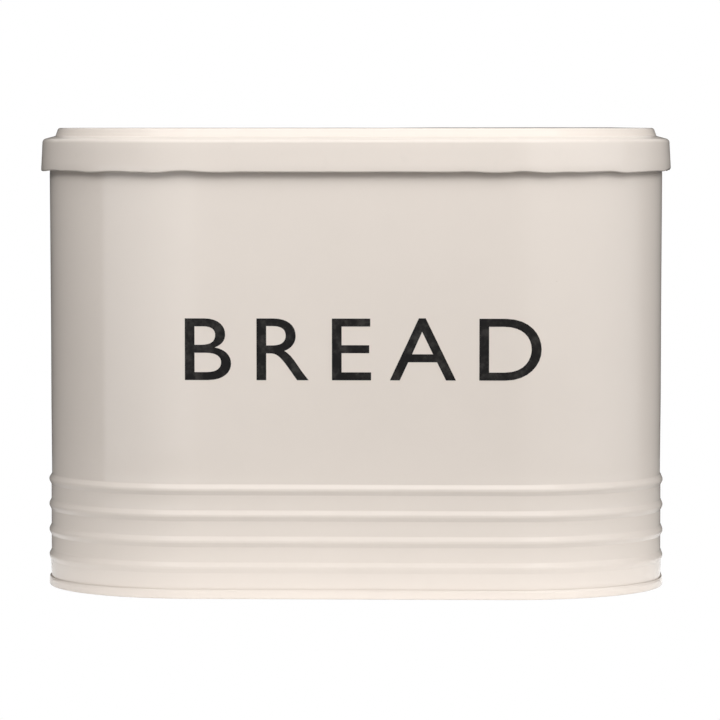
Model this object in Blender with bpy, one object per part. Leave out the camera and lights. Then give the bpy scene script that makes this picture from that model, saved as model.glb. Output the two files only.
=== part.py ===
"""Bread bin: a rolled sheet-steel box with rounded corners, a seamed base and a lift-off lid.

Metres, +Z up, the front faces -Y. The origin is on the floor, under the middle of the bin.
Every piece but the rim wire is one bent sheet. Its section is drawn as (outset, height) points,
where outset is the distance outwards from the outer face of the wall, and is then carried
round the bin's plan, a rectangle with rounded corners.
"""

import math

import bmesh
import bpy

# Driving dimensions
BODY_WIDTH = 0.3210
BODY_DEPTH = 0.1960
CORNER_RADIUS = 0.0800
TOTAL_HEIGHT = 0.2400
SHEET = 0.0006  # thickness of the steel
GAP = 0.0003  # left between pieces that touch

# Wall
BEAD_COUNT = 4
FIRST_BEAD_HEIGHT = 0.0159
BEAD_PITCH = 0.0133
BEAD_WIDTH = 0.0054
BEAD_CREST = 0.0014  # width of the flattened top of a bead
BEAD_RISE = 0.0009
CURL_RADIUS = 0.0013  # of the middle of the sheet
CURL_HEIGHT = 0.23205
CURL_TURN = math.radians(295)
WIRE_RADIUS = 0.0007

# Upright lock seam where the ends of the wall's strip meet, at the middle of the back
SEAM_WIDTH = 0.0064
SEAM_SLOPE = 0.0004
SEAM_RISE = 0.0009
SEAM_FROM = 0.0062
SEAM_TO = 0.2290

# Base
PANEL_HEIGHT = 0.0043
SEAM_CHANNEL_OUTSET = 0.0008
SEAM_CHANNEL_TOP = 0.0046
CHANNEL_BEND = 0.0006
PANEL_STEP = 0.0008
PANEL_STEP_INSET = 0.0140

# Lid
LEDGE_HEIGHT = 0.2356
LEDGE_FALL = 0.0018
PLATEAU_FOOT_OUTSET = -0.0030
PLATEAU_EDGE_OUTSET = -0.0045
SHOULDER_OUTSET = 0.0037
SHOULDER_RADIUS = 0.0018
SKIRT_OUTSET = 0.0045  # at its lower edge
SKIRT_BOTTOM = 0.2176
HEM_SPACING = 0.0010
HEM_HEIGHT = 0.0045

CORNER_STEPS = 10
BEND_STEP = math.radians(45)

PAINT = ("cream_paint", (0.76, 0.70, 0.62), 0.38, 0.0)
WIRE_STEEL = ("galvanised_steel", (0.55, 0.56, 0.57), 0.42, 1.0)


def clear_scene():
    for old in list(bpy.data.objects):
        bpy.data.objects.remove(old)


def material(name, colour, roughness, metallic):
    """A Principled material, made once and shared."""
    found = bpy.data.materials.get(name)
    if found:
        return found
    made = bpy.data.materials.new(name)
    made.use_nodes = True
    shader = made.node_tree.nodes["Principled BSDF"]
    shader.inputs["Base Color"].default_value = (*colour, 1.0)
    shader.inputs["Roughness"].default_value = roughness
    shader.inputs["Metallic"].default_value = metallic
    return made


def bent_line(corners):
    """The line through corners of (outset, height, bend radius), each corner rounded to its radius."""
    line = []
    for index, (x, z, radius) in enumerate(corners):
        if radius == 0 or index in (0, len(corners) - 1):
            line.append((x, z))
            continue
        before = math.atan2(corners[index - 1][1] - z, corners[index - 1][0] - x)
        after = math.atan2(corners[index + 1][1] - z, corners[index + 1][0] - x)
        between = math.remainder(after - before, math.tau)
        middle = before + between / 2
        to_centre = radius / math.sin(abs(between) / 2)
        centre = (x + to_centre * math.cos(middle), z + to_centre * math.sin(middle))
        turn = math.copysign(math.pi - abs(between), -between)
        line += arc(centre, radius, before + math.copysign(math.pi / 2, -between), turn)
    return line


def arc(centre, radius, start, turn):
    """Points on an arc from the angle start, through the angle turn, both ends included."""
    steps = max(1, math.ceil(abs(turn) / BEND_STEP))
    angles = [start + turn * step / steps for step in range(steps + 1)]
    return [(centre[0] + radius * math.cos(a), centre[1] + radius * math.sin(a)) for a in angles]


def sheet_sides(line, thickness):
    """The two faces of a sheet whose middle follows line: its left side and its right side."""
    left, right = [], []
    for index, (x, z) in enumerate(line):
        before = line[max(index - 1, 0)]
        after = line[min(index + 1, len(line) - 1)]
        incoming = unit(x - before[0], z - before[1]) or unit(after[0] - x, after[1] - z)
        outgoing = unit(after[0] - x, after[1] - z) or incoming
        normal = unit(-incoming[1] - outgoing[1], incoming[0] + outgoing[0])
        mitre = thickness / 2 / (normal[1] * incoming[0] - normal[0] * incoming[1])
        left.append((x + normal[0] * mitre, z + normal[1] * mitre))
        right.append((x - normal[0] * mitre, z - normal[1] * mitre))
    return left, right


def unit(x, z):
    length = math.hypot(x, z)
    return (x / length, z / length) if length > 1e-9 else None


def plan(outset, ridge=None):
    """The bin's plan moved outwards by outset, anticlockwise from +X.

    With a ridge, four more points stand where the lock seam is, the middle two raised by it.
    """
    points = []
    reach_x = BODY_WIDTH / 2 - CORNER_RADIUS
    reach_y = BODY_DEPTH / 2 - CORNER_RADIUS
    radius = CORNER_RADIUS + outset
    for corner, (side_x, side_y) in enumerate(((1, 1), (-1, 1), (-1, -1), (1, -1))):
        for step in range(CORNER_STEPS + 1):
            angle = math.pi / 2 * (corner + step / CORNER_STEPS)
            x = side_x * reach_x + radius * math.cos(angle)
            points.append((x, side_y * reach_y + radius * math.sin(angle)))
        if corner == 0 and ridge is not None:
            foot, top = SEAM_WIDTH / 2, SEAM_WIDTH / 2 - SEAM_SLOPE
            for x, rise in ((foot, 0), (top, ridge), (-top, ridge), (-foot, 0)):
                points.append((x, reach_y + radius + rise))
    return points


def solid(name, rings, ring_shaped, finish):
    """One closed body through rings of (plan points, height). Its ends are capped unless it is a ring."""
    mesh = bmesh.new()
    loops = [[mesh.verts.new((x, y, height)) for x, y in points] for points, height in rings]
    pairs = list(zip(loops, loops[1:]))
    if ring_shaped:
        pairs.append((loops[-1], loops[0]))
    else:
        mesh.faces.new(loops[0])
        mesh.faces.new(loops[-1])
    for low, high in pairs:
        for index in range(len(low)):
            following = (index + 1) % len(low)
            mesh.faces.new((low[index], low[following], high[following], high[index]))
    bmesh.ops.recalc_face_normals(mesh, faces=mesh.faces)
    data = bpy.data.meshes.new(name)
    mesh.to_mesh(data)
    mesh.free()
    data.materials.append(material(*finish))
    data.shade_smooth()
    data.set_sharp_from_angle(angle=math.radians(30))
    made = bpy.data.objects.new(name, data)
    bpy.context.scene.collection.objects.link(made)
    return made


def bead_line():
    """The middle of the wall's sheet from its lower edge to the top bead, as bent-line corners."""
    middle = -SHEET / 2
    corners = [(middle, SHEET + GAP, 0), (middle, SEAM_FROM - SEAM_SLOPE, 0), (middle, SEAM_FROM, 0)]
    for bead in range(BEAD_COUNT):
        height = FIRST_BEAD_HEIGHT + BEAD_PITCH * bead
        for width, rise in ((-BEAD_WIDTH, 0), (-BEAD_CREST, BEAD_RISE)):
            corners.append((middle + rise, height + width / 2, 0))
        for width, rise in ((BEAD_CREST, BEAD_RISE), (BEAD_WIDTH, 0)):
            corners.append((middle + rise, height + width / 2, 0))
    return corners


def make_wall():
    """Beaded strip, its top edge curled outwards over the rim wire, its ends locked at the back."""
    middle = -SHEET / 2
    line = bent_line(bead_line())
    line += [(middle, SEAM_TO), (middle, SEAM_TO + SEAM_SLOPE)]
    line += arc((middle + CURL_RADIUS, CURL_HEIGHT), CURL_RADIUS, math.pi, -CURL_TURN)
    inner, outer = sheet_sides(line, SHEET)
    rings = []
    for outset, height in outer:
        on_curl = height > SEAM_TO + SEAM_SLOPE / 2 or height < SEAM_FROM - SEAM_SLOPE / 2
        rings.append((plan(outset, 0 if on_curl else SEAM_RISE), height))
    rings += [(plan(outset, 0), height) for outset, height in reversed(inner)]
    return solid("body_wall", rings, True, PAINT)


def make_rim_wire():
    """Steel wire that the wall's top edge is curled over."""
    centre = (CURL_RADIUS - SHEET / 2, CURL_HEIGHT)
    section = arc(centre, WIRE_RADIUS, 0, math.tau)[:-1]
    return solid("rim_wire", [(plan(x), z) for x, z in section], True, WIRE_STEEL)


def make_base():
    """Pressed pan, its panel stepped up in the middle, its edge folded up round the wall's foot."""
    inner_outset = -SHEET - GAP - SHEET / 2
    step_outset = -PANEL_STEP_INSET
    raised = PANEL_HEIGHT + PANEL_STEP
    bottom = SHEET / 2
    line = bent_line(
        [
            (step_outset - 0.0100, raised, 0),
            (step_outset - PANEL_STEP, raised, 0),
            (step_outset + PANEL_STEP, PANEL_HEIGHT, 0),
            (inner_outset, PANEL_HEIGHT, CHANNEL_BEND),
            (inner_outset, bottom, CHANNEL_BEND),
            (SEAM_CHANNEL_OUTSET, bottom, CHANNEL_BEND),
            (SEAM_CHANNEL_OUTSET, SEAM_CHANNEL_TOP * 0.7, 0),
            (GAP + SHEET / 2, SEAM_CHANNEL_TOP, 0),
        ]
    )
    upper, lower = sheet_sides(line, SHEET)
    rings = [(plan(x), z) for x, z in upper + lower[::-1]]
    return solid("base_pan", rings, False, PAINT)


def make_lid():
    """One pressing: raised plateau, ledge, rounded shoulder, and a skirt with its edge hemmed inwards."""
    top = TOTAL_HEIGHT - SHEET / 2
    fold_radius = HEM_SPACING / 2
    skirt_height = LEDGE_HEIGHT - LEDGE_FALL - SKIRT_BOTTOM
    hem_lean = (SKIRT_OUTSET - SHOULDER_OUTSET) * HEM_HEIGHT / skirt_height
    line = bent_line(
        [
            (PLATEAU_EDGE_OUTSET - 0.0040, top, 0),
            (PLATEAU_EDGE_OUTSET, top, 0.0010),
            (PLATEAU_FOOT_OUTSET, LEDGE_HEIGHT, 0.0008),
            (SHOULDER_OUTSET, LEDGE_HEIGHT - LEDGE_FALL, SHOULDER_RADIUS),
            (SKIRT_OUTSET, SKIRT_BOTTOM + SHEET / 2 + fold_radius, 0),
        ]
    )
    fold_centre = (SKIRT_OUTSET - fold_radius, SKIRT_BOTTOM + SHEET / 2 + fold_radius)
    line += arc(fold_centre, fold_radius, 0, -math.pi)[1:]
    line.append((SKIRT_OUTSET - HEM_SPACING - hem_lean, SKIRT_BOTTOM + HEM_HEIGHT))
    upper, lower = sheet_sides(line, SHEET)
    rings = [(plan(x), z) for x, z in upper + lower[::-1]]
    return solid("lid_pressing", rings, False, PAINT)


clear_scene()
bin_body = bpy.data.objects.new("bin", None)
lid_body = bpy.data.objects.new("lid", None)
for empty in (bin_body, lid_body):
    bpy.context.scene.collection.objects.link(empty)
for piece in (make_wall(), make_rim_wire(), make_base()):
    piece.parent = bin_body
make_lid().parent = lid_body
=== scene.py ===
import math

import bmesh
import bpy
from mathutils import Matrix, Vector
from mathutils.bvhtree import BVHTree


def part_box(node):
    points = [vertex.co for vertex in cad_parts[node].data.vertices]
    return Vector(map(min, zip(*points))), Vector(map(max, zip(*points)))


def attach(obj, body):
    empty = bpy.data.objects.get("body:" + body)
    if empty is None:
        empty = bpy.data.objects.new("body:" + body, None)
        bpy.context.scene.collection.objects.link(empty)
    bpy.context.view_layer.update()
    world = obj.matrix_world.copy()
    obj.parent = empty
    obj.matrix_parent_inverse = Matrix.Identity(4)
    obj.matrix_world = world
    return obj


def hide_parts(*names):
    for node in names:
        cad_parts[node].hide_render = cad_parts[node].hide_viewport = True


# Looks of a coated sheet-steel bread bin. Metres throughout, +Z up, the front faces -Y.

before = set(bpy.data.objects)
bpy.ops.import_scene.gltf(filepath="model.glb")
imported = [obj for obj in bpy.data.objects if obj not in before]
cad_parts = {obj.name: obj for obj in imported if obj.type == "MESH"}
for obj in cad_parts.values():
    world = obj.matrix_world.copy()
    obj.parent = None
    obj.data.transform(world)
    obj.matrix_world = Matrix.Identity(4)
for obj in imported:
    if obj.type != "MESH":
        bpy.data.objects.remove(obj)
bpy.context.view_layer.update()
print("frame loaded:", ", ".join(sorted(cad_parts)))

# Every piece is one bent sheet carried round this plan, a rectangle with rounded corners.
# An outset is a distance outwards from the wall's outer face.
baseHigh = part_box("base_pan")[1]
lidLow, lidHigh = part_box("lid_pressing")
wireLow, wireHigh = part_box("rim_wire")
footProud = 0.0011  # the base's folded edge stands this far off the wall
plan = {
    "halfWidth": baseHigh.x - footProud,
    "halfDepth": baseHigh.y - footProud,
    "cornerRadius": 0.0800,
    "cornerSteps": 150,
    "spacing": 0.0029,  # between points round the plan
    "sheet": 0.0006,  # thickness of the steel
}
innerCorner = 0.002  # corner radius of a panel's innermost ring
middleGap = innerCorner - plan["cornerRadius"]  # its outset


def newObject(name, mesh):
    obj = bpy.data.objects.new(name, mesh)
    bpy.context.scene.collection.objects.link(obj)
    return obj


def addNode(tree, kind, inputs=None, **settings):
    node = tree.nodes.new(kind)
    for key, value in settings.items():
        setattr(node, key, value)
    for key, value in (inputs or {}).items():
        if isinstance(value, bpy.types.NodeSocket):
            tree.links.new(value, node.inputs[key])
        else:
            node.inputs[key].default_value = value
    return node


def mathNode(tree, operation, first, second=0.0, third=0.0):
    made = addNode(tree, "ShaderNodeMath", {0: first, 1: second, 2: third}, operation=operation)
    return made.outputs[0]


# from low..high to toLow..toHigh, clamped
def remap(tree, value, low, high, toLow=0.0, toHigh=1.0, smooth=True):
    made = addNode(
        tree,
        "ShaderNodeMapRange",
        {"Value": value, "From Min": low, "From Max": high, "To Min": toLow, "To Max": toHigh},
        interpolation_type="SMOOTHSTEP" if smooth else "LINEAR",
    )
    return made.outputs["Result"]


# A section is a line of (outset, height, rub, give): rub is how much the coat gets handled there,
# give is how freely the sheet can buckle there.

def arcPoints(centre, radius, start, turn, step=math.radians(13)):
    count = max(2, math.ceil(abs(turn) / step))
    angles = [start + turn * k / count for k in range(count + 1)]
    return [(centre[0] + radius * math.cos(a), centre[1] + radius * math.sin(a)) for a in angles]


# corners are (outset, height, bend radius, rub, give); straight runs get a point every spacing
def bentLine(corners, spacing=0.0075):
    line = []
    for k, (x, z, radius, rub, give) in enumerate(corners):
        if radius == 0 or k in (0, len(corners) - 1):
            line.append((x, z, rub, give))
            continue
        here = Vector((x, z))
        back = (Vector(corners[k - 1][:2]) - here).normalized()
        onward = (Vector(corners[k + 1][:2]) - here).normalized()
        half = back.angle(onward) / 2
        centre = here + (back + onward).normalized() * radius / math.sin(half)
        first = here + back * radius / math.tan(half) - centre
        last = here + onward * radius / math.tan(half) - centre
        start = math.atan2(first.y, first.x)
        turn = math.remainder(math.atan2(last.y, last.x) - start, math.tau)
        line += [(px, pz, rub, give) for px, pz in arcPoints(centre, radius, start, turn)]
    return withRows(line, spacing)


def withRows(line, spacing):
    filled = [line[0]]
    for before, after in zip(line, line[1:]):
        rows = max(1, math.ceil(math.dist(before[:2], after[:2]) / spacing))
        for row in range(1, rows + 1):
            share = row / rows
            x, z, rub, give = (a + (b - a) * share for a, b in zip(before, after))
            filled.append((x, z, after[2] if row == rows else min(before[2], after[2]), give))
    return filled


def sectionObject(name, line, closed=False):
    mesh = bpy.data.meshes.new(name)
    count = len(line)
    edges = [(k, (k + 1) % count) for k in range(count if closed else count - 1)]
    mesh.from_pydata([(p[0], 0, p[1]) for p in line], edges, [])
    for label, which in (("rub", 2), ("give", 3)):
        values = mesh.attributes.new(label, "FLOAT", "POINT").data
        values.foreach_set("value", [p[which] for p in line])
    return newObject(name, mesh)


# the tree that carries a section round the plan
def makeSweepTree():
    tree = bpy.data.node_groups.new("sweepRoundPlan", "GeometryNodeTree")
    tree.is_modifier = True
    face = tree.interface
    face.new_socket("Section", in_out="INPUT", socket_type="NodeSocketGeometry")
    for label, value in (
        ("Plan Width", 0.3), ("Plan Depth", 0.2), ("Corner Radius", 0.05), ("Spacing", 0.003),
        ("Waver", 0.0), ("Waver Size", 0.08), ("Waver Lift", 0.0), ("Seed", 0.0),
        ("Edge Dip", 0.0), ("Edge Dip Size", 0.03), ("Edge Height", 0.0), ("Edge Reach", 0.01),
        ("Corner From", 0.045), ("Corner To", 0.095), ("Straight Share", 0.2),
    ):
        face.new_socket(label, in_out="INPUT", socket_type="NodeSocketFloat").default_value = value
    face.new_socket("Corner Steps", in_out="INPUT", socket_type="NodeSocketInt").default_value = 32
    face.new_socket("Finish", in_out="INPUT", socket_type="NodeSocketMaterial")
    face.new_socket("Sheet", in_out="OUTPUT", socket_type="NodeSocketGeometry")
    given = tree.nodes.new("NodeGroupInput").outputs

    # the plan, evenly stepped, its normals lying level and pointing outwards
    square = addNode(tree, "GeometryNodeCurvePrimitiveQuadrilateral",
                     {"Width": given["Plan Width"], "Height": given["Plan Depth"]})
    rounded = addNode(tree, "GeometryNodeFilletCurve",
                      {"Curve": square.outputs[0], "Radius": given["Corner Radius"],
                       "Count": given["Corner Steps"]}, mode="POLY")
    stepped = addNode(tree, "GeometryNodeResampleCurve",
                      {"Curve": rounded.outputs[0], "Length": given["Spacing"]}, mode="LENGTH")
    facing = addNode(tree, "GeometryNodeSetCurveNormal", {"Curve": stepped.outputs[0]}, mode="Z_UP")
    outward = addNode(tree, "GeometryNodeCaptureAttribute", domain="POINT")
    outward.capture_items.new("VECTOR", "Outward")
    tree.links.new(facing.outputs[0], outward.inputs["Geometry"])
    tree.links.new(addNode(tree, "GeometryNodeInputNormal").outputs[0], outward.inputs["Outward"])

    # the section, laid flat as the sweep wants it
    line = addNode(tree, "GeometryNodeMeshToCurve", {"Mesh": given["Section"]})
    flat = addNode(tree, "GeometryNodeTransform",
                   {"Geometry": line.outputs[0], "Rotation": (math.pi / 2, 0, 0)})
    swept = addNode(tree, "GeometryNodeCurveToMesh",
                    {"Curve": outward.outputs["Geometry"], "Profile Curve": flat.outputs[0]})

    # thin sheet is never quite flat
    place = addNode(tree, "GeometryNodeInputPosition").outputs[0]
    parts = addNode(tree, "ShaderNodeSeparateXYZ", {0: place}).outputs
    buckle = addNode(tree, "ShaderNodeTexNoise",
                     {"Vector": place, "Scale": mathNode(tree, "DIVIDE", 1.0, given["Waver Size"]),
                      "W": given["Seed"], "Detail": 1.0}, noise_dimensions="4D").outputs[0]
    named = addNode(tree, "GeometryNodeInputNamedAttribute", {"Name": "give"}, data_type="FLOAT")
    give = named.outputs[0]
    swing = mathNode(tree, "MULTIPLY", mathNode(tree, "SUBTRACT", buckle, 0.5), given["Waver"])
    push = mathNode(tree, "MULTIPLY", swing, mathNode(tree, "MULTIPLY", give, 2.0))
    level = mathNode(tree, "SUBTRACT", 1.0, given["Waver Lift"])
    sideways = addNode(tree, "ShaderNodeVectorMath",
                       {0: outward.outputs["Outward"], "Scale": mathNode(tree, "MULTIPLY", push, level)},
                       operation="SCALE").outputs[0]
    lift = mathNode(tree, "MULTIPLY", push, given["Waver Lift"])

    # a drawn edge rises and falls, most where the metal was pulled round the corners
    around = addNode(tree, "ShaderNodeCombineXYZ", {"X": parts["X"], "Y": parts["Y"]}).outputs[0]
    ripple = addNode(tree, "ShaderNodeTexNoise",
                     {"Vector": around, "Scale": mathNode(tree, "DIVIDE", 1.0, given["Edge Dip Size"]),
                      "W": given["Seed"], "Detail": 1.5}, noise_dimensions="4D").outputs[0]
    atCorner = remap(tree, mathNode(tree, "ABSOLUTE", parts["X"]), given["Corner From"],
                     given["Corner To"], given["Straight Share"], 1.0)
    above = mathNode(tree, "SUBTRACT", parts["Z"], given["Edge Height"])
    nearEdge = remap(tree, mathNode(tree, "DIVIDE", above, given["Edge Reach"]), 0.0, 1.0, 1.0, 0.0)
    dip = mathNode(tree, "MULTIPLY", mathNode(tree, "SUBTRACT", ripple, 0.5), given["Edge Dip"])
    dip = mathNode(tree, "MULTIPLY", mathNode(tree, "MULTIPLY", dip, atCorner), nearEdge)
    upwards = addNode(tree, "ShaderNodeCombineXYZ", {"Z": mathNode(tree, "ADD", lift, dip)}).outputs[0]
    both = addNode(tree, "ShaderNodeVectorMath", {0: sideways, 1: upwards}, operation="ADD").outputs[0]
    moved = addNode(tree, "GeometryNodeSetPosition", {"Geometry": swept.outputs[0], "Offset": both})
    smooth = addNode(tree, "GeometryNodeSetShadeSmooth", {"Geometry": moved.outputs[0]})
    real = addNode(tree, "GeometryNodeRealizeInstances", {"Geometry": smooth.outputs[0]})
    done = addNode(tree, "GeometryNodeSetMaterial",
                   {"Geometry": real.outputs[0], "Material": given["Finish"]})
    end = tree.nodes.new("NodeGroupOutput")
    tree.links.new(done.outputs[0], end.inputs["Sheet"])
    return tree


# sets the tree's inputs, then keeps what it makes as the object's plain mesh
def runTree(obj, tree, values):
    modifier = obj.modifiers.new(tree.name, "NODES")
    modifier.node_group = tree
    for item in tree.interface.items_tree:
        if item.item_type == "SOCKET" and item.name in values:
            modifier[item.identifier] = values[item.name]
    return keepResult(obj)


def keepResult(obj):
    bpy.context.view_layer.update()
    graph = bpy.context.evaluated_depsgraph_get()
    made = bpy.data.meshes.new_from_object(obj.evaluated_get(graph))
    made.name = obj.name
    obj.modifiers.clear()
    obj.data = made
    return obj


sweepTree = makeSweepTree()


def sweep(name, line, finish, closed=False, **extra):
    values = {
        "Plan Width": plan["halfWidth"] * 2, "Plan Depth": plan["halfDepth"] * 2,
        "Corner Radius": plan["cornerRadius"], "Corner Steps": plan["cornerSteps"],
        "Spacing": plan["spacing"], "Finish": finish, **extra,
    }
    return runTree(sectionObject(name, line, closed), sweepTree, values)


# fills the hole inside the innermost ring of a pressed panel
def closeMiddle(obj):
    reachX, reachY = (plan[half] + middleGap + innerCorner for half in ("halfWidth", "halfDepth"))
    mesh = bmesh.new()
    mesh.from_mesh(obj.data)
    inner = [e for e in mesh.edges if e.is_boundary
             and all(abs(v.co.x) < reachX and abs(v.co.y) < reachY for v in e.verts)]
    whole = bmesh.ops.edgeloop_fill(mesh, edges=inner, use_smooth=True)["faces"]
    made = bmesh.ops.triangulate(mesh, faces=whole, ngon_method="BEAUTY")["faces"]
    bmesh.ops.recalc_face_normals(mesh, faces=mesh.faces)
    print(obj.name, "middle closed with", len(made), "faces")
    mesh.to_mesh(obj.data)
    mesh.free()


def giveThickness(obj):
    thick = obj.modifiers.new("sheet", "SOLIDIFY")
    thick.thickness = plan["sheet"]
    thick.offset = 0
    thick.use_even_offset = True
    thick.use_rim = True
    keepResult(obj)
    obj.data.shade_smooth()
    obj.data.set_sharp_from_angle(angle=math.radians(50))
    return obj


# scales are per metre
coat = {
    "colour": (0.800, 0.727, 0.662),
    "tint": 0.012,  # how much the colour drifts over the sheet
    "driftScale": 9.0,
    "cloudScale": 60.0,
    "driftShare": 0.75,
    "nibColour": (0.520, 0.450, 0.380),  # specks of dust baked into it
    "nibScale": 95.0,
    "nibsFrom": 0.90,  # the share of the scatter's cells left without one
    "nibSize": 0.040,
    "nibStrength": 0.45,
    "nibHeight": 0.00006,
    "thinColour": (0.660, 0.610, 0.550),  # where handling has worn the coat thin
    "wearScale": 140.0,
    "wear": 0.15,
    "wearDulls": 0.18,
    "glossScale": 38.0,
    "roughness": (0.07, 0.13),
    "peelScale": 420.0,
    "peel": 0.000006,
    "bendsLight": 1.5,
}
zinc = {
    "light": (0.60, 0.61, 0.62),
    "dark": (0.38, 0.39, 0.41),
    "spangleScale": 700.0,
    "spangleHeight": 0.00002,
    "dullScale": 300.0,
    "roughness": (0.32, 0.55),
}
ink = {
    "full": (0.012, 0.011, 0.011),
    "thin": (0.040, 0.037, 0.035),
    "layScale": 220.0,
    "grainScale": 1500.0,
    "grain": 0.00002,
    "roughness": (0.45, 0.62),
    "shine": 0.2,
}


def newFinish(name):
    made = bpy.data.materials.new(name)
    made.use_nodes = True
    tree = made.node_tree
    place = addNode(tree, "ShaderNodeTexCoord").outputs["Object"]
    return made, tree, tree.nodes["Principled BSDF"], place


def noise(tree, place, scale, detail=2.0, roughness=0.5):
    made = addNode(tree, "ShaderNodeTexNoise",
                   {"Vector": place, "Scale": scale, "Detail": detail, "Roughness": roughness})
    return made.outputs[0]


# a Mix node's colour sockets share names with its float ones, so they are taken by number
def blendColours(tree, share, first, second):
    node = tree.nodes.new("ShaderNodeMix")
    node.data_type = "RGBA"
    tree.links.new(share, node.inputs[0])
    for socket, value in ((node.inputs[6], first), (node.inputs[7], second)):
        if isinstance(value, bpy.types.NodeSocket):
            tree.links.new(value, socket)
        else:
            socket.default_value = (*value, 1)
    return node.outputs[2]


def bump(tree, height, distance, under=None):
    inputs = {"Height": height, "Distance": distance, "Strength": 1.0}
    if under:
        inputs["Normal"] = under
    return addNode(tree, "ShaderNodeBump", inputs).outputs[0]


def makeCreamCoat():
    made, tree, shader, place = newFinish("creamCoat")
    drift = noise(tree, place, coat["driftScale"], 3.0)
    cloud = noise(tree, place, coat["cloudScale"], 2.0)
    warm = tuple(c * (1 + coat["tint"]) for c in coat["colour"])
    cool = tuple(c * (1 - coat["tint"]) for c in coat["colour"])
    mottle = mathNode(tree, "ADD", mathNode(tree, "MULTIPLY", drift, coat["driftShare"]),
                      mathNode(tree, "MULTIPLY", cloud, 1 - coat["driftShare"]))
    colour = blendColours(tree, remap(tree, mottle, 0.3, 0.7), warm, cool)

    # specks: the middles of a few cells of a coarse scatter
    cells = addNode(tree, "ShaderNodeTexVoronoi", {"Vector": place, "Scale": coat["nibScale"]})
    pick = addNode(tree, "ShaderNodeSeparateColor", {0: cells.outputs["Color"]}).outputs[0]
    chosen = remap(tree, pick, coat["nibsFrom"], coat["nibsFrom"] + 0.005, smooth=False)
    spot = remap(tree, cells.outputs["Distance"], coat["nibSize"] * 0.45, coat["nibSize"], 1.0, 0.0)
    nib = mathNode(tree, "MULTIPLY", chosen, spot)
    speckled = mathNode(tree, "MULTIPLY", nib, coat["nibStrength"])
    colour = blendColours(tree, speckled, colour, coat["nibColour"])

    # handling: patchy, and only where the sheet stands proud
    rubbed = addNode(tree, "ShaderNodeAttribute", attribute_name="rub").outputs["Fac"]
    patches = remap(tree, noise(tree, place, coat["wearScale"], 4.0, 0.6), 0.56, 0.76)
    worn = mathNode(tree, "MULTIPLY", rubbed, patches)
    thinned = mathNode(tree, "MULTIPLY", worn, coat["wear"])
    colour = blendColours(tree, thinned, colour, coat["thinColour"])
    tree.links.new(colour, shader.inputs["Base Color"])

    gloss = remap(tree, noise(tree, place, coat["glossScale"], 4.0, 0.6), 0.3, 0.7, *coat["roughness"])
    gloss = mathNode(tree, "ADD", gloss, mathNode(tree, "MULTIPLY", worn, coat["wearDulls"]))
    tree.links.new(gloss, shader.inputs["Roughness"])

    peel = bump(tree, noise(tree, place, coat["peelScale"], 1.0), coat["peel"])
    raised = bump(tree, nib, coat["nibHeight"], peel)
    tree.links.new(raised, shader.inputs["Normal"])
    shader.inputs["IOR"].default_value = coat["bendsLight"]
    return made


def makeZincWire():
    made, tree, shader, place = newFinish("zincWire")
    spangle = remap(tree, noise(tree, place, zinc["spangleScale"], 3.0, 0.7), 0.35, 0.65)
    tree.links.new(blendColours(tree, spangle, zinc["light"], zinc["dark"]), shader.inputs["Base Color"])
    dull = remap(tree, noise(tree, place, zinc["dullScale"], 2.0), 0.3, 0.7, *zinc["roughness"])
    tree.links.new(dull, shader.inputs["Roughness"])
    tree.links.new(bump(tree, spangle, zinc["spangleHeight"]), shader.inputs["Normal"])
    shader.inputs["Metallic"].default_value = 1.0
    return made


def makePrintInk():
    made, tree, shader, place = newFinish("printInk")
    lay = noise(tree, place, ink["layScale"], 5.0, 0.65)
    density = remap(tree, lay, 0.42, 0.70)
    tree.links.new(blendColours(tree, density, ink["full"], ink["thin"]), shader.inputs["Base Color"])
    tree.links.new(remap(tree, lay, 0.3, 0.7, *ink["roughness"]), shader.inputs["Roughness"])
    grain = bump(tree, noise(tree, place, ink["grainScale"], 2.0), ink["grain"])
    tree.links.new(grain, shader.inputs["Normal"])
    shader.inputs["Specular IOR Level"].default_value = ink["shine"]
    return made


creamCoat = makeCreamCoat()
zincWire = makeZincWire()
printInk = makePrintInk()
print("finishes made")

wall = {
    "foot": 0.0009,
    "upright": 0.9,  # it stands upright inside this share of the base's folded edge
    "footStand": 0.0004,  # the strip below the lowest bead stands this far proud at its top
    "beads": 4,
    "firstBead": 0.0159,
    "beadPitch": 0.0133,
    "beadWidth": 0.0054,
    "beadCrest": 0.0010,
    "beadRise": 0.0011,
    "beadBend": 0.0010,
    "lean": 0.0003,  # the plain part leans out by this much above its middle, and in below it
    "plainFrom": 0.0640,
    "plainTo": 0.2150,
    "freeFrom": 0.035,  # it buckles freely from this far above the plain part's foot
    "freeTo": 0.030,  # to this far below its top
    "curlRadius": 0.0013,
    "curlHeight": (wireLow.z + wireHigh.z) / 2,
    "curlTurn": math.radians(295),
    "waver": 0.00018,
    "waverSize": 0.085,
}
seam = {
    "width": 0.0064, "proud": 0.0009, "edge": 0.0004, "bury": 0.0004,
    "from": 0.0062, "to": 0.2292, "lipWidth": 0.0013, "lipProud": 0.00045,
}


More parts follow.
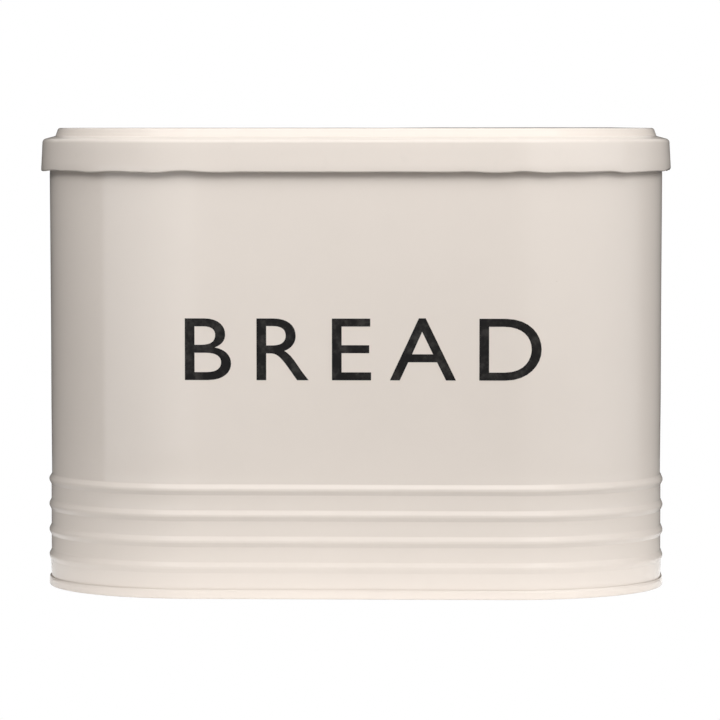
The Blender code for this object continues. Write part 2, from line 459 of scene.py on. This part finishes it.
def wallLine():
    middle = -plan["sheet"] / 2
    reach, crest, bend = wall["beadWidth"] / 2, wall["beadCrest"] / 2, wall["beadBend"]
    low, high = middle - wall["lean"], middle + wall["lean"]
    corners = [(middle, wall["foot"], 0, 0, 0), (middle, baseHigh.z * wall["upright"], 0, 0, 0)]
    for bead in range(wall["beads"]):
        height = wall["firstBead"] + wall["beadPitch"] * bead
        under = middle if bead else middle + wall["footStand"]
        out = middle + wall["beadRise"]
        corners += [
            (under, height - reach, bend, 0, 0),
            (out, height - crest, bend, 0.5, 0),
            (out, height + crest, bend, 0.5, 0),
            (low if bead == wall["beads"] - 1 else middle, height + reach, bend * 1.5, 0, 0),
        ]
    corners += [
        (low, wall["plainFrom"], 0, 0, 0),
        (low * 0.6 + high * 0.4, wall["plainFrom"] + wall["freeFrom"], 0, 0, 1),
        (low * 0.2 + high * 0.8, wall["plainTo"] - wall["freeTo"], 0, 0, 1),
        (high, wall["plainTo"], 0, 0, 0.3),
        (middle, wall["curlHeight"], 0, 0, 0),
    ]
    curl = arcPoints((middle + wall["curlRadius"], wall["curlHeight"]), wall["curlRadius"],
                     math.pi, -wall["curlTurn"])
    return bentLine(corners)[:-1] + [(x, z, 0.7, 0) for x, z in curl]


def makeWall():
    obj = sweep("wall", wallLine(), creamCoat, **{
        "Waver": wall["waver"], "Waver Size": wall["waverSize"], "Seed": 3.0})
    return giveThickness(obj)


# a flat strip with eased edges, carried along a line
def makeStripTree():
    tree = bpy.data.node_groups.new("stripAlongLine", "GeometryNodeTree")
    tree.is_modifier = True
    face = tree.interface
    face.new_socket("Line", in_out="INPUT", socket_type="NodeSocketGeometry")
    for label, value in (("Width", 0.006), ("Thickness", 0.001), ("Edge", 0.0003)):
        face.new_socket(label, in_out="INPUT", socket_type="NodeSocketFloat").default_value = value
    face.new_socket("Finish", in_out="INPUT", socket_type="NodeSocketMaterial")
    face.new_socket("Strip", in_out="OUTPUT", socket_type="NodeSocketGeometry")
    given = tree.nodes.new("NodeGroupInput").outputs
    line = addNode(tree, "GeometryNodeMeshToCurve", {"Mesh": given["Line"]})
    even = addNode(tree, "GeometryNodeSetCurveNormal", {"Curve": line.outputs[0]},
                   mode="MINIMUM_TWIST")
    across = addNode(tree, "GeometryNodeCurvePrimitiveQuadrilateral",
                     {"Width": given["Width"], "Height": given["Thickness"]})
    eased = addNode(tree, "GeometryNodeFilletCurve",
                    {"Curve": across.outputs[0], "Radius": given["Edge"], "Count": 4}, mode="POLY")
    swept = addNode(tree, "GeometryNodeCurveToMesh",
                    {"Curve": even.outputs[0], "Profile Curve": eased.outputs[0], "Fill Caps": True})
    smooth = addNode(tree, "GeometryNodeSetShadeSmooth", {"Geometry": swept.outputs[0]})
    real = addNode(tree, "GeometryNodeRealizeInstances", {"Geometry": smooth.outputs[0]})
    done = addNode(tree, "GeometryNodeSetMaterial",
                   {"Geometry": real.outputs[0], "Material": given["Finish"]})
    end = tree.nodes.new("NodeGroupOutput")
    tree.links.new(done.outputs[0], end.inputs["Strip"])
    return tree


# the lock seam at the middle of the back: a flat fold, and the low lip it is hooked over
def makeSeam():
    tree = makeStripTree()
    strips = []
    for name, width, proud, x in (
        ("seamFold", seam["width"], seam["proud"], 0.0),
        ("seamLip", seam["lipWidth"], seam["lipProud"], (seam["width"] + seam["lipWidth"]) / 2),
    ):
        thickness = proud + seam["bury"]
        stand = plan["halfDepth"] + plan["sheet"] / 2 + proud - thickness / 2
        points = [(x, stand + p[0], p[1]) for p in wallLine() if seam["from"] < p[1] < seam["to"]]
        points = [p for p in points if p[1] < stand + wall["beadRise"]]
        mesh = bpy.data.meshes.new(name)
        mesh.from_pydata(points, [(k, k + 1) for k in range(len(points) - 1)], [])
        obj = newObject(name, mesh)
        strips.append(runTree(obj, tree, {
            "Width": width, "Thickness": thickness, "Edge": min(seam["edge"], thickness * 0.4),
            "Finish": creamCoat}))
    return strips


# adds the others' meshes to obj's, as extra shells of the same piece
def joinInto(obj, others):
    mesh = bmesh.new()
    mesh.from_mesh(obj.data)
    for other in others:
        pointFacesOut(other)
        mesh.from_mesh(other.data)
    mesh.to_mesh(obj.data)
    mesh.free()
    for other in others:
        bpy.data.objects.remove(other)
    obj.data.set_sharp_from_angle(angle=math.radians(50))
    return obj


def pointFacesOut(obj):
    mesh = bmesh.new()
    mesh.from_mesh(obj.data)
    bmesh.ops.recalc_face_normals(mesh, faces=mesh.faces)
    mesh.to_mesh(obj.data)
    mesh.free()
    return obj


wallPiece = joinInto(makeWall(), makeSeam())
print("wall made:", len(wallPiece.data.polygons), "faces")

base = {
    "panelHeight": 0.0043,
    "channelOut": 0.0008,
    "channelTop": 0.0047,
    "channelLip": 0.0012,  # the top of the channel leans in to the wall over this height
    "bend": 0.0006,
    "panelStep": 0.0008,
    "stepInset": 0.0140,
    "stepBend": 0.0015,
    "innerInset": 0.0012,
    "freeFrom": 0.020,  # the panel buckles freely from this far past its innermost ring
    "freeTo": 0.015,  # to this far short of its step
    "waver": 0.0005,
    "waverSize": 0.060,
}


def baseLine():
    under = plan["sheet"] / 2
    raised = base["panelHeight"] + base["panelStep"]
    step, bend = -base["stepInset"], base["bend"]
    return bentLine([
        (middleGap, raised, 0, 0, 0),
        (middleGap + base["freeFrom"], raised, 0, 0, 1),
        (step - base["freeTo"], raised, 0, 0, 1),
        (step - base["panelStep"], raised, base["stepBend"], 0, 0),
        (step + base["panelStep"], base["panelHeight"], base["stepBend"], 0, 0),
        (-base["innerInset"], base["panelHeight"], bend, 0, 0),
        (-base["innerInset"], under, bend, 0.8, 0),
        (base["channelOut"], under, bend, 1.0, 0),
        (base["channelOut"], base["channelTop"] - base["channelLip"], bend, 0.6, 0),
        (plan["sheet"] * 0.9, base["channelTop"], 0, 0.6, 0),
    ])


def makeBase():
    obj = sweep("base", baseLine(), creamCoat, **{
        "Waver": base["waver"], "Waver Size": base["waverSize"], "Waver Lift": 1.0, "Seed": 8.0})
    closeMiddle(obj)
    return giveThickness(obj)


basePiece = makeBase()
print("base made:", len(basePiece.data.polygons), "faces")

wire = {"radius": (wireHigh.z - wireLow.z) / 2, "sides": 14}


def makeWire():
    centre = (wall["curlRadius"] - plan["sheet"] / 2, wall["curlHeight"])
    ring = arcPoints(centre, wire["radius"], 0, math.tau, math.tau / wire["sides"])[:-1]
    obj = sweep("rimWire", [(x, z, 0, 0) for x, z in ring], zincWire, closed=True)
    return pointFacesOut(obj)


wirePiece = makeWire()
print("rim wire made")

lid = {
    "top": lidHigh.z - plan["sheet"] / 2,
    "ledge": 0.2356,
    "ledgeFall": 0.0018,
    "plateauEdge": -0.0045,
    "plateauFoot": -0.0030,
    "plateauBend": 0.0012,
    "footBend": 0.0009,
    "shoulder": 0.0037,
    "shoulderBend": 0.0020,
    "skirt": lidHigh.x - plan["halfWidth"] - plan["sheet"] / 2,
    "skirtBottom": lidLow.z,
    "hemSpacing": 0.0010,
    "hemHeight": 0.0045,
    "rows": 0.004,  # between points down the section
    "hemRows": 0.0015,
    "hemTurn": math.radians(22),  # between points round the fold
    "edgeDip": 0.0045,
    "edgeDipSize": 0.026,
    "dipHeight": 0.001,  # the dips are full this far above the hem's foot
    "dipReach": 0.011,  # and die away over this height
    "cornerFrom": 0.045,  # they grow between these distances from the middle
    "cornerTo": 0.095,
    "straightShare": 0.2,
    "freeFrom": 0.020,  # the top buckles freely from this far past its innermost ring
    "freeTo": 0.020,  # to this far short of its edge
    "stiffFrom": 0.004,
    "waver": 0.0007,
    "waverSize": 0.085,
}


def lidLine():
    fold = lid["hemSpacing"] / 2
    foldHeight = lid["skirtBottom"] + plan["sheet"] / 2 + fold
    lean = (lid["skirt"] - lid["shoulder"]) / (lid["ledge"] - foldHeight)
    line = bentLine([
        (middleGap, lid["top"], 0, 0, 0),
        (middleGap + lid["freeFrom"], lid["top"], 0, 0, 1),
        (lid["plateauEdge"] - lid["freeTo"], lid["top"], 0, 0, 1),
        (lid["plateauEdge"] - lid["stiffFrom"], lid["top"], 0, 0, 0),
        (lid["plateauEdge"], lid["top"], lid["plateauBend"], 0.8, 0),
        (lid["plateauFoot"], lid["ledge"], lid["footBend"], 0, 0),
        (lid["shoulder"], lid["ledge"] - lid["ledgeFall"], lid["shoulderBend"], 0.7, 0),
        (lid["skirt"], foldHeight, 0, 0.8, 0),
    ], lid["rows"])
    turn = arcPoints((lid["skirt"] - fold, foldHeight), fold, 0, -math.pi, lid["hemTurn"])
    line += [(x, z, 1.0, 0) for x, z in turn[1:]]
    hemTop = lid["skirtBottom"] + lid["hemHeight"]
    hem = [line[-1], (lid["skirt"] - 2 * fold - lean * (hemTop - foldHeight), hemTop, 0.3, 0)]
    return line + withRows(hem, lid["hemRows"])[1:]


def makeLid():
    obj = sweep("lidTop", lidLine(), creamCoat, **{
        "Waver": lid["waver"], "Waver Size": lid["waverSize"], "Waver Lift": 1.0, "Seed": 5.0,
        "Edge Dip": lid["edgeDip"], "Edge Dip Size": lid["edgeDipSize"],
        "Edge Height": lid["skirtBottom"] + lid["dipHeight"], "Edge Reach": lid["dipReach"],
        "Corner From": lid["cornerFrom"], "Corner To": lid["cornerTo"],
        "Straight Share": lid["straightShare"],
    })
    closeMiddle(obj)
    return giveThickness(obj)


lidPiece = makeLid()
print("lid made:", len(lidPiece.data.polygons), "faces")

# plain block capitals
word = {
    "letters": "BREAD",
    "capHeight": 0.0316,
    "width": 0.1815,
    "spacing": 1.32,
    "middle": (0.0065, 0.1277),
    "film": 0.00006,  # thickness of the ink above the coat
    "root": 0.0002,  # how far its back is sunk into the sheet
    "cell": 0.004,  # cut to this size, so that it bends with the wall
    "cutAcross": (-0.10, 0.10),
    "cutUp": (0.10, 0.16),
}


def makeWord():
    text = bpy.data.curves.new("word", "FONT")
    text.body = word["letters"]
    text.space_character = word["spacing"]
    text.resolution_u = 8
    drawn = newObject("wordDrawn", text)
    bpy.context.view_layer.update()
    flat = bpy.data.meshes.new_from_object(drawn.evaluated_get(bpy.context.evaluated_depsgraph_get()))
    bpy.data.objects.remove(drawn)
    mesh = bmesh.new()
    mesh.from_mesh(flat)
    bmesh.ops.remove_doubles(mesh, verts=mesh.verts, dist=1e-5)
    xs, ys = [v.co.x for v in mesh.verts], [v.co.y for v in mesh.verts]
    left, bottom = min(xs), min(ys)
    wide, tall = word["width"] / (max(xs) - left), word["capHeight"] / (max(ys) - bottom)
    for v in mesh.verts:
        v.co = ((v.co.x - left) * wide - word["width"] / 2 + word["middle"][0], 0,
                (v.co.y - bottom) * tall - word["capHeight"] / 2 + word["middle"][1])
    for axis, (low, high) in ((Vector((1, 0, 0)), word["cutAcross"]), (Vector((0, 0, 1)), word["cutUp"])):
        for k in range(1, round((high - low) / word["cell"])):
            everything = mesh.verts[:] + mesh.edges[:] + mesh.faces[:]
            bmesh.ops.bisect_plane(mesh, geom=everything, plane_no=axis,
                                   plane_co=axis * (low + k * word["cell"]))
    layOnWall(mesh)
    obj = newObject("printedWord", bpy.data.meshes.new("printedWord"))
    mesh.to_mesh(obj.data)
    mesh.free()
    obj.data.materials.append(printInk)
    return obj


# gives the flat letters thickness, front and back both following the wall's own surface
def layOnWall(mesh):
    surface = bmesh.new()
    surface.from_mesh(wallPiece.data)
    tree = BVHTree.FromBMesh(surface)
    for v in mesh.verts:
        hit = tree.ray_cast(Vector((v.co.x, -1, v.co.z)), Vector((0, 1, 0)))[0]
        v.co.y = hit.y + word["root"]
    surface.free()
    made = bmesh.ops.extrude_face_region(mesh, geom=mesh.faces[:])["geom"]
    for v in made:
        if isinstance(v, bmesh.types.BMVert):
            v.co.y -= word["root"] + word["film"]
    bmesh.ops.recalc_face_normals(mesh, faces=mesh.faces)


wordPiece = makeWord()
print("word printed")

for piece, body, node, slot in (
    (wallPiece, "bin", "body_wall", "cream_paint"),
    (basePiece, "bin", "base_pan", "cream_paint"),
    (wirePiece, "bin", "rim_wire", "rim_wire_steel"),
    (lidPiece, "lid", "lid_pressing", "cream_paint"),
    (wordPiece, "bin", None, "print_ink"),
):
    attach(piece, body)
    if node:
        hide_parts(node)

floor = {
    "radius": 0.9,
    "near": 0.85,  # how much light it throws back beside the bin
    "far": 0.12,  # and well away from it
    "middleLine": 0.0800,  # half the length of the line that reach is measured from
    "nearReach": 0.10,
    "farReach": 0.24,
    "paintedGlow": 0.18,  # painted light: the floor's own glow beside the bin, standing in for a lit table's brightness
    "roughness": 0.9,
    "shine": 0.1,
    "seen": 1.0,  # how the camera sees it: plain white
}
room = {"dim": 0.04, "seen": 1.0}
# soft panels round the room, in degrees: turn is round from the camera's side, right positive, rise is
# upwards, and the edges fade; a panel wider than 360 goes all the way round
panels = {
    "leftStrip": {"turn": -40, "width": 72, "rise": -6, "height": 16, "fade": 3, "bright": 1.15},
    "leftFill": {"turn": -22, "width": 36, "rise": 16, "height": 28, "fade": 4, "bright": 0.3},
    "rightStrip": {"turn": 34, "width": 40, "rise": -6, "height": 16, "fade": 4, "bright": 0.4},
    "rightEnd": {"turn": 84, "width": 60, "rise": -6, "height": 16, "fade": 24, "bright": 1.0},
    "rightFill": {"turn": 52, "width": 76, "rise": 16, "height": 28, "fade": 6, "bright": 0.85},
    "behind": {"turn": 180, "width": 90, "rise": 42, "height": 46, "fade": 16, "bright": 0.4},
    "ceiling": {"turn": 0, "width": 400, "rise": 90, "height": 76, "fade": 6, "bright": 0.45},
}
# a lamp that isn't mirrored shows in no reflection
lamps = {
    "frontLamp": {"place": (0.0, -0.7, 1.0), "size": (1.4, 0.6), "watts": 3.2, "mirrored": True},
    "rightLamp": {"place": (0.8, -0.8, 0.9), "size": (1.2, 0.5), "watts": 8.8, "mirrored": False},
    "leftLamp": {"place": (-0.7, -0.8, 0.9), "size": (1.2, 0.5), "watts": 6.2, "mirrored": False},
    "backLamp": {"place": (0.1, 1.4, 0.6), "size": (1.0, 0.6), "watts": 9.0, "mirrored": False},
}
lampAim = Vector((0, 0, 0.1))  # a little way up the bin
camera = {
    "distance": 2.3, "height": 0.2415, "aside": 0.0017,
    "down": math.radians(3.10), "turn": math.radians(1.9), "lens": 216.9,
}


def makeFloor():
    mesh = bmesh.new()
    bmesh.ops.create_circle(mesh, cap_ends=True, segments=96, radius=floor["radius"])
    obj = newObject("floor", bpy.data.meshes.new("floor"))
    mesh.to_mesh(obj.data)
    mesh.free()
    made, tree, shader, place = newFinish("paleFloorPaintedGlow")
    parts = addNode(tree, "ShaderNodeSeparateXYZ", {0: place}).outputs
    along = mathNode(tree, "ABSOLUTE", parts["X"])
    past = mathNode(tree, "MAXIMUM", mathNode(tree, "SUBTRACT", along, floor["middleLine"]), 0.0)
    level = addNode(tree, "ShaderNodeCombineXYZ", {"X": past, "Y": parts["Y"]}).outputs[0]
    away = addNode(tree, "ShaderNodeVectorMath", {0: level}, operation="LENGTH").outputs["Value"]
    # 1 beside the bin and 0 away from it: it sets both how pale the floor is and its painted glow
    beside = remap(tree, away, floor["nearReach"], floor["farReach"], 1.0, 0.0)
    pale = remap(tree, beside, 0.0, 1.0, floor["far"], floor["near"], smooth=False)
    tree.links.new(pale, shader.inputs["Base Color"])
    shader.inputs["Roughness"].default_value = floor["roughness"]
    shader.inputs["Specular IOR Level"].default_value = floor["shine"]
    shader.inputs["Emission Color"].default_value = (1, 1, 1, 1)
    # painted light: the floor glows beside the bin and fades away from it
    tree.links.new(mathNode(tree, "MULTIPLY", beside, floor["paintedGlow"]), shader.inputs["Emission Strength"])
    seen = addNode(tree, "ShaderNodeEmission", {"Color": (1, 1, 1, 1), "Strength": floor["seen"]})
    direct = addNode(tree, "ShaderNodeLightPath").outputs["Is Camera Ray"]
    choose = addNode(tree, "ShaderNodeMixShader", {0: direct, 1: shader.outputs[0], 2: seen.outputs[0]})
    tree.links.new(choose.outputs[0], tree.nodes["Material Output"].inputs["Surface"])
    obj.data.materials.append(made)


# 1 inside the panel and 0 outside it
def panelShare(tree, turn, rise, panel):
    aside = mathNode(tree, "WRAP", mathNode(tree, "SUBTRACT", turn, panel["turn"]), 180.0, -180.0)
    above = mathNode(tree, "SUBTRACT", rise, panel["rise"])
    shares = []
    for off, size in ((aside, panel["width"]), (above, panel["height"])):
        near, far = (size - panel["fade"]) / 2, (size + panel["fade"]) / 2
        shares.append(remap(tree, mathNode(tree, "ABSOLUTE", off), near, far, 1.0, 0.0))
    return mathNode(tree, "MULTIPLY", *shares)


def makeRoom():
    world = bpy.data.worlds.new("studio")
    bpy.context.scene.world = world
    world.use_nodes = True
    tree = world.node_tree
    way = addNode(tree, "ShaderNodeTexCoord").outputs["Generated"]
    parts = addNode(tree, "ShaderNodeSeparateXYZ", {0: way}).outputs
    turn = mathNode(tree, "ARCTAN2", parts["X"], mathNode(tree, "MULTIPLY", parts["Y"], -1.0))
    turn, rise = (mathNode(tree, "DEGREES", a) for a in (turn, mathNode(tree, "ARCSINE", parts["Z"])))
    light = room["dim"]
    for panel in panels.values():
        share = panelShare(tree, turn, rise, panel)
        light = mathNode(tree, "MULTIPLY_ADD", share, panel["bright"], light)
    background = tree.nodes["Background"]
    tree.links.new(light, background.inputs["Color"])
    seen = addNode(tree, "ShaderNodeBackground", {"Color": (1, 1, 1, 1), "Strength": room["seen"]})
    direct = addNode(tree, "ShaderNodeLightPath").outputs["Is Camera Ray"]
    choose = addNode(tree, "ShaderNodeMixShader",
                     {0: direct, 1: background.outputs[0], 2: seen.outputs[0]})
    tree.links.new(choose.outputs[0], tree.nodes["World Output"].inputs["Surface"])


def makeLamp(name, lamp):
    data = bpy.data.lights.new(name, "AREA")
    data.shape = "RECTANGLE"
    data.size, data.size_y = lamp["size"]
    data.energy = lamp["watts"]
    obj = newObject(name, data)
    obj.location = lamp["place"]
    obj.rotation_euler = (lampAim - obj.location).to_track_quat("-Z", "Y").to_euler()
    obj.visible_camera = False
    obj.visible_glossy = lamp["mirrored"]


def makeCamera():
    data = bpy.data.cameras.new("camera")
    data.lens = camera["lens"]
    data.sensor_width = 36
    data.clip_end = 50
    obj = newObject("camera", data)
    turn = camera["turn"]
    x, y = camera["aside"], -camera["distance"]
    obj.location = (x * math.cos(turn) - y * math.sin(turn), x * math.sin(turn) + y * math.cos(turn),
                    camera["height"])
    obj.rotation_euler = (math.pi / 2 - camera["down"], 0, turn)
    bpy.context.scene.camera = obj


makeFloor()
makeRoom()
for name, lamp in lamps.items():
    makeLamp(name, lamp)
makeCamera()
bpy.context.scene.view_settings.view_transform = "Standard"
bpy.context.scene.view_settings.look = "None"
print("floor, light and camera made")
